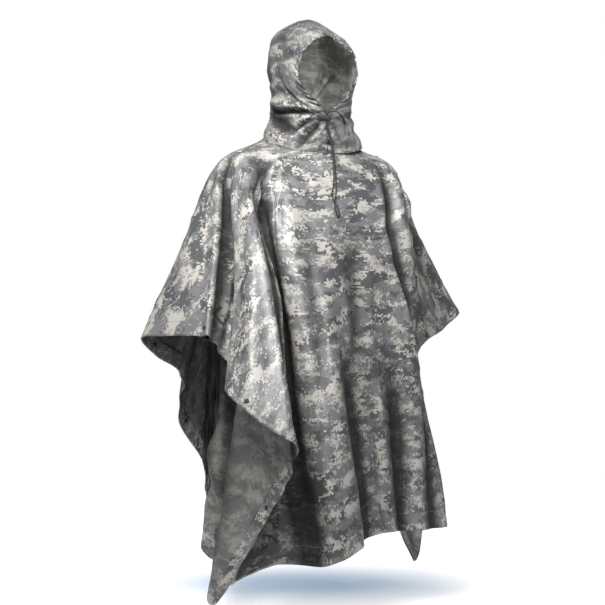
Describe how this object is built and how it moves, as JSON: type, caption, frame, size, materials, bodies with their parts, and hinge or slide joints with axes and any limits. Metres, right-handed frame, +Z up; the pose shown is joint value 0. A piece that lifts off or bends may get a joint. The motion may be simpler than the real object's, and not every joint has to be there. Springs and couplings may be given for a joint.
{
  "type": "rain poncho",
  "caption": "Hooded rain poncho of coated camouflage cloth, worn open with its side edges hanging free, with a drawstring and cord lock at the throat.",
  "frame": {"origin": "the middle of the neck seam, between the wearer's shoulders", "axes": "+Z up, the wearer faces -Y, and the wearer's left arm is on +X"},
  "size_m": [0.9378, 0.7317, 1.4077],
  "materials": {
    "camouflage_cloth": "semi-gloss coated polyester with a grey pixel camouflage print",
    "hem_cloth": "turned hems and casings of the same coated cloth",
    "black_plastic": "black moulded plastic",
    "black_cord": "black braided cord"
  },
  "bodies": {
    "root": {"body_back": "camouflage_cloth", "body_front": "camouflage_cloth", "casing_left": "hem_cloth", "casing_right": "hem_cloth", "cord_end": "black_plastic", "cord_lock": "black_plastic", "cord_lock_button": "black_plastic", "drawcord_left": "black_cord", "drawcord_left_lead": "black_cord", "drawcord_right": "black_cord", "drawcord_right_lead": "black_cord", "eyelet_left": "black_plastic", "eyelet_right": "black_plastic", "hem_bottom_back": "hem_cloth", "hem_bottom_front": "hem_cloth", "hem_side_back_left": "hem_cloth", "hem_side_back_right": "hem_cloth", "hem_side_front_left": "hem_cloth", "hem_side_front_right": "hem_cloth", "hood_left": "camouflage_cloth", "hood_right": "camouflage_cloth", "snap_back_left_1_cap": "black_plastic", "snap_back_left_1_socket": "black_plastic", "snap_back_left_2_cap": "black_plastic", "snap_back_left_2_socket": "black_plastic", "snap_back_left_3_cap": "black_plastic", "snap_back_left_3_socket": "black_plastic", "snap_back_right_1_cap": "black_plastic", "snap_back_right_1_socket": "black_plastic", "snap_back_right_2_cap": "black_plastic", "snap_back_right_2_socket": "black_plastic", "snap_back_right_3_cap": "black_plastic", "snap_back_right_3_socket": "black_plastic", "snap_front_left_1_cap": "black_plastic", "snap_front_left_1_socket": "black_plastic", "snap_front_left_2_cap": "black_plastic", "snap_front_left_2_socket": "black_plastic", "snap_front_left_3_cap": "black_plastic", "snap_front_left_3_socket": "black_plastic", "snap_front_right_1_cap": "black_plastic", "snap_front_right_1_socket": "black_plastic", "snap_front_right_2_cap": "black_plastic", "snap_front_right_2_socket": "black_plastic", "snap_front_right_3_cap": "black_plastic", "snap_front_right_3_socket": "black_plastic"}
  },
  "joints": []
}
